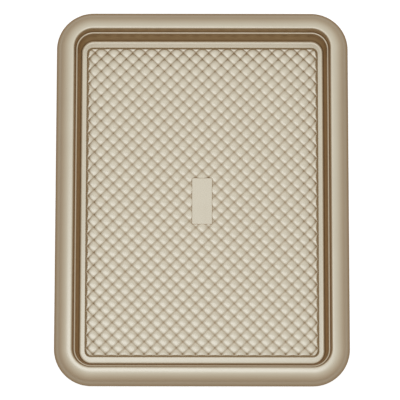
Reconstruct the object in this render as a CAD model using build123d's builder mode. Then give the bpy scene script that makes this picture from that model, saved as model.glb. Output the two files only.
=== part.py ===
from build123d import *
from math import ceil, cos, radians, sin, tan
import os

os.makedirs("parts", exist_ok=True)

# A baking sheet pressed from one steel blank, with its edge rolled round a wire.
# The origin is the middle of the underside, with +Z up and the long side along Y.
# All lengths are in millimetres, and an inset is measured in from the outermost edge.

# Whole pan
pan_width = 270.0
pan_length = 348.0
pan_height = 30.0
corner_radius = 34.0
sheet = 0.8

# Rim: a crowned band that falls outwards and then curls under, round the wire
rim_width = 16.6
crown_radius = 2.0
band_turn = 75.0  # degrees down from level, where the curl starts
curl_turn = 285.0  # degrees that the edge curls on from there
wire_diameter = 3.0
wire_clearance = 0.15
wire_gap = 1.0

# Wall, from the crown down: a short upper wall, a ledge, and the lower wall on its foot
upper_wall_lean = 0.9
ledge_height = 19.0
ledge_width = 1.6
ledge_fall = 0.3
ledge_root_radius = 1.1
ledge_edge_radius = 0.9
lower_wall_lean = 2.9
foot_radius = 2.2

# Floor: a flat border round a field of raised diamonds, with a bare panel in its middle.
# The field is measured at its foot and the panel at its top.
field_width = 215.2
field_length = 290.6
field_corner_radius = 5.5
diamond_width = 11.83
groove_rise = 0.3
bump_height = 1.2
panel_width = 18.6
panel_length = 43.0
panel_corner_radius = 1.0
panel_rise = 0.1
side_lean = 45.0  # degrees from upright, of the sides of the field and the panel

# Worked out from the sizes above
half_sheet = sheet / 2
curl_radius = wire_diameter / 2 + wire_clearance + sheet
curl_reach = curl_radius * (1 - sin(radians(band_turn)))
band_radius = (rim_width - crown_radius - curl_reach) / sin(radians(band_turn))
ledge_inset = rim_width + upper_wall_lean
wall_inset = ledge_inset + ledge_width
foot_inset = wall_inset + lower_wall_lean
floor_inset = foot_inset + foot_radius + 2 * sheet
side_run = pan_length / 2 - corner_radius
end_run = pan_width / 2 - corner_radius
bump_top = sheet + groove_rise + bump_height
side_rise = bump_top + panel_rise - sheet
side_reach = side_rise * tan(radians(side_lean))
hollow_inset = sheet * (1 - sin(radians(side_lean))) / cos(radians(side_lean))

# Section of the sheet from the floor to the rolled edge, with its outermost point at x = 0.
# The line runs in the middle of the sheet: along the floor, up the wall, out over the rim.
with BuildSketch() as sheet_section:
    with BuildLine():
        wall = FilletPolyline(
            (-floor_inset, half_sheet),
            (-foot_inset, half_sheet),
            (-wall_inset, ledge_height),
            (-ledge_inset, ledge_height + ledge_fall),
            (-rim_width, pan_height - half_sheet),
            (-rim_width + crown_radius, pan_height - half_sheet),
            radius=(
                foot_radius + half_sheet,
                ledge_edge_radius,
                ledge_root_radius,
                crown_radius - half_sheet,
            ),
        )
        band = JernArc(wall @ 1, wall % 1, band_radius - half_sheet, -band_turn)
        curl = JernArc(band @ 1, band % 1, curl_radius - half_sheet, -curl_turn)
    trace(line_width=sheet)

# Section of the wire, in the middle of the curl
wire_height = curl.arc_center.Y
with BuildSketch() as wire_section:
    with Locations((-curl_radius, wire_height)):
        Circle(wire_diameter / 2)


# A section laid round the quarter of the pan with x and y above zero
def laid_round_quarter(section):
    with BuildPart() as quarter:
        with BuildSketch(Plane.XZ):
            with Locations((pan_width / 2, 0)):
                add(section)
        extrude(amount=-side_run)
        with BuildSketch(Plane.XZ.offset(-side_run)):
            with Locations((pan_width / 2, 0)):
                add(section)
        revolve(axis=Axis((end_run, side_run, 0), (0, 0, 1)), revolution_arc=90)
        with BuildSketch(Plane.YZ):
            with Locations((pan_length / 2, 0)):
                add(section)
        extrude(amount=end_run)
    return quarter.part


# One bump is a square on its corner under a ball, so that neighbours meet in a sharp valley.
# The ball's poles are turned away from the cap, which keeps the cap's surface plain.
half_diamond = diamond_width / 2
ball_radius = (half_diamond**2 + bump_height**2) / (2 * bump_height)
with BuildPart() as bump:
    with BuildSketch():
        RegularPolygon(half_diamond, 4)
    extrude(amount=bump_top + side_rise)
    with Locations((0, 0, bump_top - ball_radius)):
        Sphere(ball_radius, rotation=(90, 0, 0), mode=Mode.INTERSECT)

# The quilted surface: the bump's cap in every second place of a grid of half diamonds
cap = bump.faces().sort_by(Axis.Z)[-1]
columns = ceil(field_width / diamond_width) + 1
rows = ceil(field_length / diamond_width) + 1
places = [(i, j) for i in range(columns) for j in range(rows) if (i + j) % 2 == 0]
quilt = Shell([cap.moved(Pos(i * half_diamond, j * half_diamond)) for i, j in places])


# The same quarter of a rounded block, which leans in as it rises as high as the panel
def leaning_quarter(width, length, radius, base):
    with BuildPart() as block:
        with BuildSketch(Plane.XY.offset(base)):
            RectangleRounded(width, length, radius)
        extrude(amount=side_rise, taper=side_lean)
        with Locations((0, 0, base)):
            Box(
                width, length, side_rise, align=(Align.MIN, Align.MIN, Align.MIN), mode=Mode.INTERSECT
            )
    return block.part


# The field and the panel as one block under the quilted surface. The block stands at the given
# height, and is smaller all round by the given inset.
def raised_quarter(base, inset):
    panel_spread = 2 * (side_reach - inset)
    with BuildPart() as raised:
        add(
            leaning_quarter(
                field_width - 2 * inset, field_length - 2 * inset, field_corner_radius - inset, base
            )
        )
        split(bisect_by=quilt.moved(Pos(0, 0, base - sheet)), keep=Keep.BOTTOM)
        add(
            leaning_quarter(
                panel_width + panel_spread,
                panel_length + panel_spread,
                panel_corner_radius + side_reach - inset,
                base,
            )
        )
    return raised.part


rim_quarter = laid_round_quarter(sheet_section.sketch)
wire_quarter = laid_round_quarter(wire_section.sketch)

# The pressed sheet, made as a quarter and mirrored twice. The hollow under the field is the
# raised block one sheet lower, with an inset that keeps the sheet's thickness on leaning sides.
with BuildPart() as pan_shell:
    add(rim_quarter)
    with BuildSketch():
        RectangleRounded(
            pan_width - 2 * floor_inset, pan_length - 2 * floor_inset, corner_radius - floor_inset
        )
        Rectangle(pan_width, pan_length, align=(Align.MIN, Align.MIN), mode=Mode.INTERSECT)
    extrude(amount=sheet)
    add(raised_quarter(sheet, 0))
    add(raised_quarter(0, hollow_inset), mode=Mode.SUBTRACT)
    mirror(about=Plane.XZ)
    mirror(about=Plane.YZ)
pan_shell.part.label = "pan_shell"
export_step(pan_shell.part, "parts/pan_shell.step")

# The wire inside the rolled edge; its ends nearly meet in the middle of a short side
with BuildPart() as rim_wire:
    add(wire_quarter)
    mirror(about=Plane.XZ)
    mirror(about=Plane.YZ)
    with Locations((0, curl_radius - pan_length / 2, wire_height)):
        Box(wire_gap, 2 * wire_diameter, 2 * wire_diameter, mode=Mode.SUBTRACT)
rim_wire.part.label = "rim_wire"
export_step(rim_wire.part, "parts/rim_wire.step")
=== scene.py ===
from math import atan2, ceil, copysign, cos, hypot, pi, radians, sin, sqrt, tan

import bmesh
import bpy
from mathutils import Matrix, Vector


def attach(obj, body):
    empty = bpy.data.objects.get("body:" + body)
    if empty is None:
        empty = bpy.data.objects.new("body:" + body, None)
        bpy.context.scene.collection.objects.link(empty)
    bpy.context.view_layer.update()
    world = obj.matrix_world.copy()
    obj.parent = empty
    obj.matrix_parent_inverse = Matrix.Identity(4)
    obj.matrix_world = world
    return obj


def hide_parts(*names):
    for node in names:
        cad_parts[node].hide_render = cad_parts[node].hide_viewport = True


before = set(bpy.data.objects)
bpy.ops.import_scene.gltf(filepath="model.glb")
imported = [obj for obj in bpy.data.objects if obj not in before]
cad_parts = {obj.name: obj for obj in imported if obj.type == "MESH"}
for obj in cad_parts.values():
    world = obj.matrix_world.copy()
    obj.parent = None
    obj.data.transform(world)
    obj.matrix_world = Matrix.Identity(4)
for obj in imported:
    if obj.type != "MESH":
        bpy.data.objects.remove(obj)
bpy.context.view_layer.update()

# The pan is made in millimetres and scaled to metres once it is whole.
millimetre = 0.001
mergeDistance = 0.001  # points this near to each other become one
levelTolerance = 0.01  # and heights this near to each other are the same


def announce(stage):
    print("scene:", stage)


def addObject(name, data):
    holder = bpy.data.objects.new(name, data)
    bpy.context.collection.objects.link(holder)
    return holder


def partsOf(geometry, kind):
    return [part for part in geometry if isinstance(part, kind)]


def extrudeRow(bm, edges):
    # new faces on these edges; what comes back is their far side, still where the edges are
    made = bmesh.ops.extrude_edge_only(bm, edges=edges)["geom"]
    verts = partsOf(made, bmesh.types.BMVert)
    far = set(verts)
    return verts, [edge for edge in partsOf(made, bmesh.types.BMEdge) if far.issuperset(edge.verts)]


def risingShare(value, start, end):
    return min(max((value - start) / (end - start), 0), 1)


# The rim and wall. An inset is measured in from the outermost edge.
pan = {
    "width": 270.0,
    "length": 348.0,
    "cornerRadius": 34.0,
    "sheet": 0.8,
    # (inset, height) along the middle of the sheet, from the floor up to the crown
    "wallCorners": [
        (25.8, 0.4), (22.0, 0.4), (19.1, 19.0), (17.5, 19.3), (16.6, 29.6), (14.6, 29.6),
    ],
    "wallRadii": [2.6, 0.9, 1.1, 1.6],
    "wallSteps": [10, 6, 6, 7],
    "bandRadius": 14.63,  # of the crowned band that falls outwards
    "bandTurn": 75.0,
    "bandSteps": 18,
    "curlRadius": 2.05,
    "curlTurn": 285.0,
    "curlSteps": 26,
    "turnSteps": 22,  # round each corner of the pan
    "crispAngle": 38.0,  # edges that turn by more, in degrees, stay crisp
    # painted shade: how far the coating's colour is darkened towards a brown, from 0 to 1
    "edgeShade": (4.9, 0.5),  # the painted shade grows between these insets, towards the rolled edge
    "wallShades": [  # (height, painted shade) up the wall; the dip is the ledge
        (0.8, 0.0), (3.0, 0.85), (18.4, 0.85), (19.3, 0.4), (19.9, 0.4), (20.8, 0.85),
        (26.5, 0.85), (29.2, 0.0),
    ],
}


# the painted shade at a point of the rim and wall
def shadeOf(inset, height):
    if inset < pan["wallCorners"][-1][0]:
        return risingShare(inset, *pan["edgeShade"])
    stops = pan["wallShades"]
    shade = stops[0][1]
    for (low, lowShade), (high, highShade) in zip(stops, stops[1:]):
        shade += (highShade - lowShade) * risingShare(height, low, high)
    return shade


def sheetMoves():
    # each move is a straight run and then a bend: run, radius, turn (left is positive), steps
    corners = [Vector((-inset, height)) for inset, height in pan["wallCorners"]]
    legs = [b - a for a, b in zip(corners, corners[1:])]
    headings = [atan2(leg.y, leg.x) for leg in legs]
    turns = [b - a for a, b in zip(headings, headings[1:])]
    cuts = [radius * tan(abs(turn) / 2) for radius, turn in zip(pan["wallRadii"], turns)]
    runs = [leg.length - before - after for leg, before, after in zip(legs, [0] + cuts, cuts + [0])]
    moves = list(zip(runs, pan["wallRadii"], turns, pan["wallSteps"]))
    moves.append((runs[-1], pan["bandRadius"], -radians(pan["bandTurn"]), pan["bandSteps"]))
    moves.append((0, pan["curlRadius"], -radians(pan["curlTurn"]), pan["curlSteps"]))
    return moves


def drawFace(bm, offset):
    # one face of the sheet as a line in the plane y = 0, out to the end of the curl
    inset, height = pan["wallCorners"][0]
    last = bm.verts.new((pan["width"] / 2 - inset, 0, height + offset))
    heading = 0.0
    for run, radius, turn, steps in sheetMoves():
        if run > 0:
            last = bmesh.ops.extrude_vert_indiv(bm, verts=[last])["verts"][0]
            last.co += run * Vector((cos(heading), 0, sin(heading)))
        reach = copysign(radius, turn) - offset
        centre = last.co + reach * Vector((-sin(heading), 0, cos(heading)))
        arc = bmesh.ops.spin(bm, geom=[last], cent=centre, axis=(0, -1, 0), angle=turn, steps=steps)
        last = partsOf(arc["geom_last"], bmesh.types.BMVert)[0]
        heading += turn
    return last


def sweepRound(bm):
    # the section goes along each side and round each corner, back to where it began
    side = pan["length"] / 2 - pan["cornerRadius"]
    end = pan["width"] / 2 - pan["cornerRadius"]
    bmesh.ops.translate(bm, verts=bm.verts[:], vec=(0, -side, 0))
    stretches = [  # the way along a side, and the middle of the turn after it
        ((0, 2 * side, 0), (end, side, 0)),
        ((-2 * end, 0, 0), (-end, side, 0)),
        ((0, -2 * side, 0), (-end, -side, 0)),
        ((2 * end, 0, 0), (end, -side, 0)),
    ]
    edges = bm.edges[:]
    for run, centre in stretches:
        verts, edges = extrudeRow(bm, edges)
        bmesh.ops.translate(bm, verts=verts, vec=run)
        bent = bmesh.ops.spin(bm, geom=verts + edges, cent=centre, axis=(0, 0, 1),
                              angle=radians(90), steps=pan["turnSteps"])
        edges = partsOf(bent["geom_last"], bmesh.types.BMEdge)
    bmesh.ops.remove_doubles(bm, verts=bm.verts[:], dist=mergeDistance)


# The raised field of diamonds, with the bare panel in its middle
emboss = {
    "fieldSize": (215.2, 290.6),  # at the foot of its sides
    "fieldRadius": 5.5,
    "panelSize": (18.6, 43.0),  # at its top
    "panelRadius": 1.0,
    "sideRise": 1.6,
    "fieldLean": 52.0,  # of the sides, in degrees from upright
    "panelLean": 45.0,
    "shift": -1.0,  # of the diamonds along the pan, towards the front
    "diamondWidth": 11.83,
    "bumpHeight": 1.15,  # from the corners of a diamond to its middle
    "bumpFlatness": 3.0,  # 2 is a ball's cap, and more has a flatter top and squarer sides
    "panelRise": 0.1,  # above the bumps
    "easing": 0.2,  # how far the edges of the sides are rounded over
    "fadeWidth": 0.6,  # how far a side's shade runs out on the flat
    "grooveStart": 0.4,  # share of a bump's height below which the painted shade in the grooves grows
    # painted shade on the field's sides
    "fieldSideShade": 0.1,
    "panelSideShades": (0.2, 0.1),  # painted shade at the top of the sides and on the edge
    "cornerCuts": 5,
    "seenSteps": 8,  # faces across a diamond, on the seen side
    "hiddenSteps": 4,
}


def grown(size, grow):
    return size[0] + 2 * grow, size[1] + 2 * grow


def nearestOnOutline(point, size, radius):
    # the nearest point of a rounded rectangle about the origin
    coreX, coreY = size[0] / 2 - radius, size[1] / 2 - radius
    overX, overY = abs(point.x) - coreX, abs(point.y) - coreY
    if overX > 0 and overY > 0:
        reach = hypot(overX, overY)
        overX, overY = overX * radius / reach, overY * radius / reach
    elif overX > overY:
        overX = radius
    else:
        overY = radius
    return copysign(coreX + overX, point.x), copysign(coreY + overY, point.y)


def addRows(bm, edges, size, radius, rows):
    # each row of faces ends on the outline, grown by so much, at a height and with a painted shade
    paintedShade = bm.verts.layers.float["paintedShade"]
    for grow, height, shade in rows:
        verts, edges = extrudeRow(bm, edges)
        for vert in verts:
            x, y = nearestOnOutline(vert.co, grown(size, grow), radius + grow)
            vert.co = (x, y, height)
            vert[paintedShade] = shade
    return edges


def leaningPlanes(size, radius, height, lean):
    # planes through the tangents of an outline at a height, leaning in as they rise
    count = 4 * (emboss["cornerCuts"] + 1)
    for i in range(count):
        acrossX, acrossY = cos(2 * pi * i / count), sin(2 * pi * i / count)
        x = copysign(size[0] / 2 - radius, acrossX) + radius * acrossX
        y = copysign(size[1] / 2 - radius, acrossY) + radius * acrossY
        yield Vector((x, y, height)), Vector((acrossX * cos(lean), acrossY * cos(lean), sin(lean)))


def bisected(bm, faces, point, outwards, clearOuter):
    # a dictionary holds each part once and keeps their order
    parts = dict.fromkeys(part for face in faces for part in (face, *face.verts, *face.edges))
    return bmesh.ops.bisect_plane(bm, geom=list(parts), dist=mergeDistance, plane_co=point,
                                  plane_no=outwards, clear_outer=clearOuter)["geom"]


def quiltedGrid(bm, bumpTop, steps):
    # a square cell for each diamond, out to the field's corners, with its steps drawn closer
    # towards the valleys
    paintedShade = bm.verts.layers.float["paintedShade"]
    pitch = emboss["diamondWidth"] / sqrt(2)
    cells = 2 * ceil(sum(emboss["fieldSize"]) / 2 / sqrt(2) / pitch - 0.5) + 1
    count = cells * steps
    bmesh.ops.create_grid(bm, x_segments=count, y_segments=count, size=cells * pitch / 2)
    for vert in bm.verts:
        away = []
        for axis in (0, 1):
            cell = round(vert.co[axis] / pitch)
            away.append(sin((vert.co[axis] / pitch - cell) * pi))
            vert.co[axis] = (cell + away[-1] / 2) * pitch
        fallShare = sum(abs(share)**emboss["bumpFlatness"] for share in away) / 2
        vert.co.z = bumpTop - emboss["bumpHeight"] * fallShare
        # painted shade, darker towards the valleys between the diamonds
        vert[paintedShade] = risingShare(fallShare, emboss["grooveStart"], 1)
    diagonal = Matrix.Rotation(radians(45), 3, "Z")
    bmesh.ops.rotate(bm, verts=bm.verts[:], cent=(0, 0, 0), matrix=diagonal)
    bmesh.ops.translate(bm, verts=bm.verts[:], vec=(0, emboss["shift"], 0))


def embossedFloor(base, inset, steps):
    # one face of the raised field, standing on its foot at the height of base
    bm = bmesh.new()
    paintedShade = bm.verts.layers.float.new("paintedShade")
    fieldSize, fieldRadius = grown(emboss["fieldSize"], -inset), emboss["fieldRadius"] - inset
    panelSize, panelRadius = grown(emboss["panelSize"], -inset), emboss["panelRadius"] - inset
    panelTop = base + emboss["sideRise"]
    ease, fade = emboss["easing"], emboss["fadeWidth"]
    quiltedGrid(bm, panelTop - emboss["panelRise"], steps)

    spareX, spareY = (size / 2 + emboss["diamondWidth"] / 2 for size in fieldSize)
    outside = [vert for vert in bm.verts if abs(vert.co.x) > spareX or abs(vert.co.y) > spareY]
    bmesh.ops.delete(bm, geom=outside, context="VERTS")

    # the field's outline and its foot
    lean = radians(emboss["fieldLean"])
    for point, outwards in leaningPlanes(fieldSize, fieldRadius, base, lean):
        near = [face for face in bm.faces
                if any((vert.co - point).dot(outwards) > -levelTolerance for vert in face.verts)]
        bisected(bm, near, point, outwards, True)
    row = [edge for edge in bm.edges if edge.is_boundary]
    # painted shade along the field's sides and their foot
    shade = emboss["fieldSideShade"]
    for vert in {vert for edge in row for vert in edge.verts}:
        vert[paintedShade] = shade
    foot = [(-ease, base + ease, shade), (ease, base, shade), (fade, base, 0)]
    addRows(bm, row, fieldSize, fieldRadius, foot)

    # the hole for the panel, the panel's sides and its flat top
    def aboutPanel(point):
        return abs(point.x) < panelSize[0] and abs(point.y) < panelSize[1]

    lean = radians(emboss["panelLean"])
    reach = emboss["sideRise"] * tan(lean)
    inside = [face for face in bm.faces if aboutPanel(face.calc_center_median())]
    for point, outwards in leaningPlanes(grown(panelSize, reach), panelRadius + reach, base, lean):
        cut = bisected(bm, inside, point, outwards, False)
        inside = [face for face in partsOf(cut, bmesh.types.BMFace)
                  if (face.calc_center_median() - point).dot(outwards) < 0]
    bmesh.ops.delete(bm, geom=inside, context="FACES")
    row = [edge for edge in bm.edges if edge.is_boundary and aboutPanel(edge.verts[0].co)]
    # painted shade on the panel's sides and edge
    sideShade, edgeShade = emboss["panelSideShades"]
    top = [(ease, panelTop - ease, sideShade), (-ease, panelTop, edgeShade), (-fade, panelTop, 0)]
    row = addRows(bm, row, panelSize, panelRadius, top)
    bmesh.ops.contextual_create(bm, geom=row)
    return bm


def joinIn(bm, other):
    # adds another bmesh to this one
    carrier = bpy.data.meshes.new("carrier")
    other.to_mesh(carrier)
    other.free()
    bm.from_mesh(carrier)
    bpy.data.meshes.remove(carrier)


def makePanShell():
    bm = bmesh.new()
    paintedShade = bm.verts.layers.float.new("paintedShade")
    ends = [drawFace(bm, offset) for offset in (pan["sheet"] / 2, -pan["sheet"] / 2)]
    bm.edges.new(ends)
    # painted shade on the walls and towards the rolled edge
    for vert in bm.verts:
        vert[paintedShade] = shadeOf(pan["width"] / 2 - vert.co.x, vert.co.z)
    sweepRound(bm)
    announce("rim and wall swept")

    # the hidden side stands one sheet lower, with an inset that keeps the sheet's thickness
    lean = radians(emboss["fieldLean"])
    hollowInset = pan["sheet"] * (1 - sin(lean)) / cos(lean)
    joinIn(bm, embossedFloor(pan["sheet"], 0, emboss["seenSteps"]))
    joinIn(bm, embossedFloor(0, hollowInset, emboss["hiddenSteps"]))
    announce("floor embossed")

    # the flat border joins the wall's foot to the field, on both sides of the sheet
    for height in (0, pan["sheet"]):
        rims = [edge for edge in bm.edges
                if edge.is_boundary and abs(edge.verts[0].co.z - height) < levelTolerance]
        bmesh.ops.triangle_fill(bm, edges=rims, use_beauty=True, normal=(0, 0, 1))
    bmesh.ops.recalc_face_normals(bm, faces=bm.faces[:])
    bmesh.ops.scale(bm, verts=bm.verts[:], vec=(millimetre,) * 3)
    for face in bm.faces:
        face.smooth = True
    crisp = radians(pan["crispAngle"])
    for edge in bm.edges:
        edge.smooth = len(edge.link_faces) == 2 and edge.calc_face_angle() < crisp
    openEdges = sum(1 for edge in bm.edges if len(edge.link_faces) != 2)
    announce(f"pan shell made, with {len(bm.faces)} faces and {openEdges} open edges")

    mesh = bpy.data.meshes.new("panShell")
    bm.to_mesh(mesh)
    bm.free()
    piece = addObject("panShell", mesh)
    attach(piece, "root")
    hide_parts("pan_shell")
    return piece


def newMaterial(name):
    material = bpy.data.materials.new(name)
    material.use_nodes = True
    nodes, links = material.node_tree.nodes, material.node_tree.links
    return material, nodes, links, nodes["Principled BSDF"]


def addNode(nodes, kind, **settings):
    # settings name a node's properties, and those that it hasn't are its sockets
    node = nodes.new(kind)
    for name, value in settings.items():
        if hasattr(node, name):
            setattr(node, name, value)
        else:
            node.inputs[name].default_value = value
    return node


def addNoise(nodes, links, **settings):
    noise = addNode(nodes, "ShaderNodeTexNoise", **settings)
    where = nodes.new("ShaderNodeTexCoord")
    links.new(where.outputs["Object"], noise.inputs["Vector"])
    return noise.outputs["Fac"]


def mixTones(nodes, links, factor, first, second):
    # a Mix node's two colours are its sockets 6 and 7, and the mixed one is its output 2
    mix = addNode(nodes, "ShaderNodeMix", data_type="RGBA")
    links.new(factor, mix.inputs[0])
    for socket, tone in ((mix.inputs[6], first), (mix.inputs[7], second)):
        if isinstance(tone, tuple):
            socket.default_value = tone
        else:
            links.new(tone, socket)
    return mix.outputs[2]


def metalGrain(nodes, links, shader, noise, finish):
    # the noise varies the gloss and raises a fine grain
    gloss = nodes.new("ShaderNodeMapRange")
    gloss.inputs["To Min"].default_value, gloss.inputs["To Max"].default_value = finish["roughness"]
    links.new(noise, gloss.inputs["Value"])
    links.new(gloss.outputs["Result"], shader.inputs["Roughness"])
    grain = addNode(nodes, "ShaderNodeBump", Strength=finish["grainStrength"],
                    Distance=finish["grainDepth"])
    links.new(noise, grain.inputs["Height"])
    links.new(grain.outputs["Normal"], shader.inputs["Normal"])
    shader.inputs["Metallic"].default_value = 1.0


coating = {
    "tone": (0.56, 0.48, 0.366, 1),
    "mottleTone": (0.525, 0.445, 0.334, 1),
    "mottle": {"Scale": 38.0, "Detail": 5.0, "Roughness": 0.6},
    "paintedShadeTone": (0.40, 0.30, 0.195, 1),  # painted shade: the colour the coating is darkened to in the grooves, on the walls and at the rolled edge
    "grazingTint": (0.61, 0.46, 0.345, 1),
    "flake": {"Scale": 1200.0, "Detail": 3.0},
    "roughness": (0.25, 0.35),
    "grainStrength": 0.2,
    "grainDepth": 0.00008,
}


def coatedSteel():
    material, nodes, links, shader = newMaterial("coatedSteel")
    mottle = addNoise(nodes, links, **coating["mottle"])
    tone = mixTones(nodes, links, mottle, coating["tone"], coating["mottleTone"])
    # painted shade darkens the coating towards a brown where the grooves, walls and rolled edge lie
    # in shade
    paintedShade = addNode(nodes, "ShaderNodeAttribute", attribute_name="paintedShade")
    tone = mixTones(nodes, links, paintedShade.outputs["Fac"], tone, coating["paintedShadeTone"])
    links.new(tone, shader.inputs["Base Color"])
    flake = addNoise(nodes, links, **coating["flake"])
    metalGrain(nodes, links, shader, flake, coating)
    shader.inputs["Specular Tint"].default_value = coating["grazingTint"]
    return material


# The wire inside the rolled edge, with the fine scale of drawn steel
wire = {
    "darkTone": (0.50, 0.50, 0.51, 1),
    "lightTone": (0.64, 0.64, 0.63, 1),
    "scale": {"Scale": 900.0, "Detail": 4.0},
    "roughness": (0.28, 0.46),
    "grainStrength": 0.15,
    "grainDepth": 0.0001,
}


def wireSteel():
    material, nodes, links, shader = newMaterial("wireSteel")
    scale = addNoise(nodes, links, **wire["scale"])
    tone = mixTones(nodes, links, scale, wire["darkTone"], wire["lightTone"])
    links.new(tone, shader.inputs["Base Color"])
    metalGrain(nodes, links, shader, scale, wire)
    return material


# The studio, in metres
studio = {
    "cameraDistance": 2.6,
    "cameraTilt": 9.8,  # degrees from straight above, towards the front
    "focalLength": 253.63,  # millimetres
    "target": (0.0, 0.0, 0.013),
    "shift": (-0.0053, -0.0026),  # of the lens
    "roll": 0.078,  # of the camera, in degrees
    "viewDepth": 50.0,
    "floorSize": 8.0,
    "floorTone": (0.55, 0.55, 0.55, 1),
    "floorRoughness": 0.9,
    "floorGloss": 0.1,
    # how brightly the floor glows for each kind of ray that shows the background
    "floorGlow": {"Is Camera Ray": 0.75, "Is Glossy Ray": 0.25, "Is Transmission Ray": 0.25},
    # each softbox is an oval lamp that faces the pan: place, size, power, colour
    "softboxes": {
        "frontSoftbox": ((-0.09, -0.17, 1.3), (1.15, 0.5), 1.45, (0.62, 0.75, 1.0)),
        "backSoftbox": ((0.0, 0.2, 0.5), (0.4, 0.16), 0.05, (0.75, 0.85, 1.0)),
    },
    "skyAxis": (0.04, 0.08, 0.996),  # the brightest direction; lower down it grows darker
    "sky": [  # (cosine of the angle from skyAxis, colour)
        (0.0, (0.48, 0.40, 0.32, 1)), (0.3, (0.66, 0.60, 0.53, 1)), (0.6, (0.78, 0.76, 0.72, 1)),
        (0.8, (0.94, 0.96, 0.95, 1)), (0.95, (1.05, 1.13, 1.18, 1)),
    ],
}


def facing(place, target):
    return (Vector(target) - Vector(place)).to_track_quat("-Z", "Y")


def addCamera():
    tilt = radians(studio["cameraTilt"])
    eye = Vector(studio["target"]) + studio["cameraDistance"] * Vector((0, -sin(tilt), cos(tilt)))
    camera = bpy.data.cameras.new("camera")
    camera.lens = studio["focalLength"]
    camera.clip_end = studio["viewDepth"]
    camera.shift_x, camera.shift_y = studio["shift"]
    holder = addObject("camera", camera)
    holder.location = eye
    roll = Matrix.Rotation(radians(studio["roll"]), 3, "Z")
    holder.rotation_euler = (facing(eye, studio["target"]).to_matrix() @ roll).to_euler()
    bpy.context.scene.camera = holder


def backgroundGlow(nodes, links):
    # the strengths of the kinds of ray added up, one Math node each
    path = nodes.new("ShaderNodeLightPath")
    total = None
    for name, strength in studio["floorGlow"].items():
        part = addNode(nodes, "ShaderNodeMath", operation="MULTIPLY_ADD")
        links.new(path.outputs[name], part.inputs[0])
        part.inputs[1].default_value = strength
        part.inputs[2].default_value = 0
        if total:
            links.new(total, part.inputs[2])
        total = part.outputs[0]
    return total


def addFloor():
    bm = bmesh.new()
    bmesh.ops.create_grid(bm, x_segments=1, y_segments=1, size=studio["floorSize"] / 2)
    mesh = bpy.data.meshes.new("studioFloor")
    bm.to_mesh(mesh)
    bm.free()
    material, nodes, links, shader = newMaterial("studioFloor")
    shader.inputs["Base Color"].default_value = studio["floorTone"]
    shader.inputs["Roughness"].default_value = studio["floorRoughness"]
    shader.inputs["Specular IOR Level"].default_value = studio["floorGloss"]
    shader.inputs["Emission Color"].default_value = (1, 1, 1, 1)
    links.new(backgroundGlow(nodes, links), shader.inputs["Emission Strength"])
    mesh.materials.append(material)
    addObject("studioFloor", mesh)


def addSoftbox(name, place, size, power, colour):
    lamp = bpy.data.lights.new(name, "AREA")
    lamp.shape = "ELLIPSE"
    lamp.size, lamp.size_y = size
    lamp.energy = power
    lamp.color = colour
    holder = addObject(name, lamp)
    holder.location = place
    holder.rotation_euler = facing(place, (0, 0, 0)).to_euler()


def addSky():
    world = bpy.data.worlds.new("studio")
    bpy.context.scene.world = world
    world.use_nodes = True
    nodes, links = world.node_tree.nodes, world.node_tree.links
    direction = nodes.new("ShaderNodeTexCoord").outputs["Generated"]
    height = addNode(nodes, "ShaderNodeVectorMath", operation="DOT_PRODUCT")
    height.inputs[1].default_value = studio["skyAxis"]
    links.new(direction, height.inputs[0])
    ramp = nodes.new("ShaderNodeValToRGB")
    for stop in studio["sky"][1:-1]:  # a new ramp has its two end stops already
        ramp.color_ramp.elements.new(stop[0])
    for element, (position, colour) in zip(ramp.color_ramp.elements, studio["sky"]):
        element.position, element.color = position, colour
    links.new(height.outputs["Value"], ramp.inputs["Fac"])
    links.new(ramp.outputs["Color"], nodes["Background"].inputs["Color"])


panShell = makePanShell()
panShell.data.materials.append(coatedSteel())
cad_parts["rim_wire"].material_slots[0].material = wireSteel()
announce("materials made")
addFloor()
for name, settings in studio["softboxes"].items():
    addSoftbox(name, *settings)
addSky()
addCamera()
bpy.context.scene.view_settings.view_transform = "Standard"
announce("studio made")

bpy.context.view_layer.update()
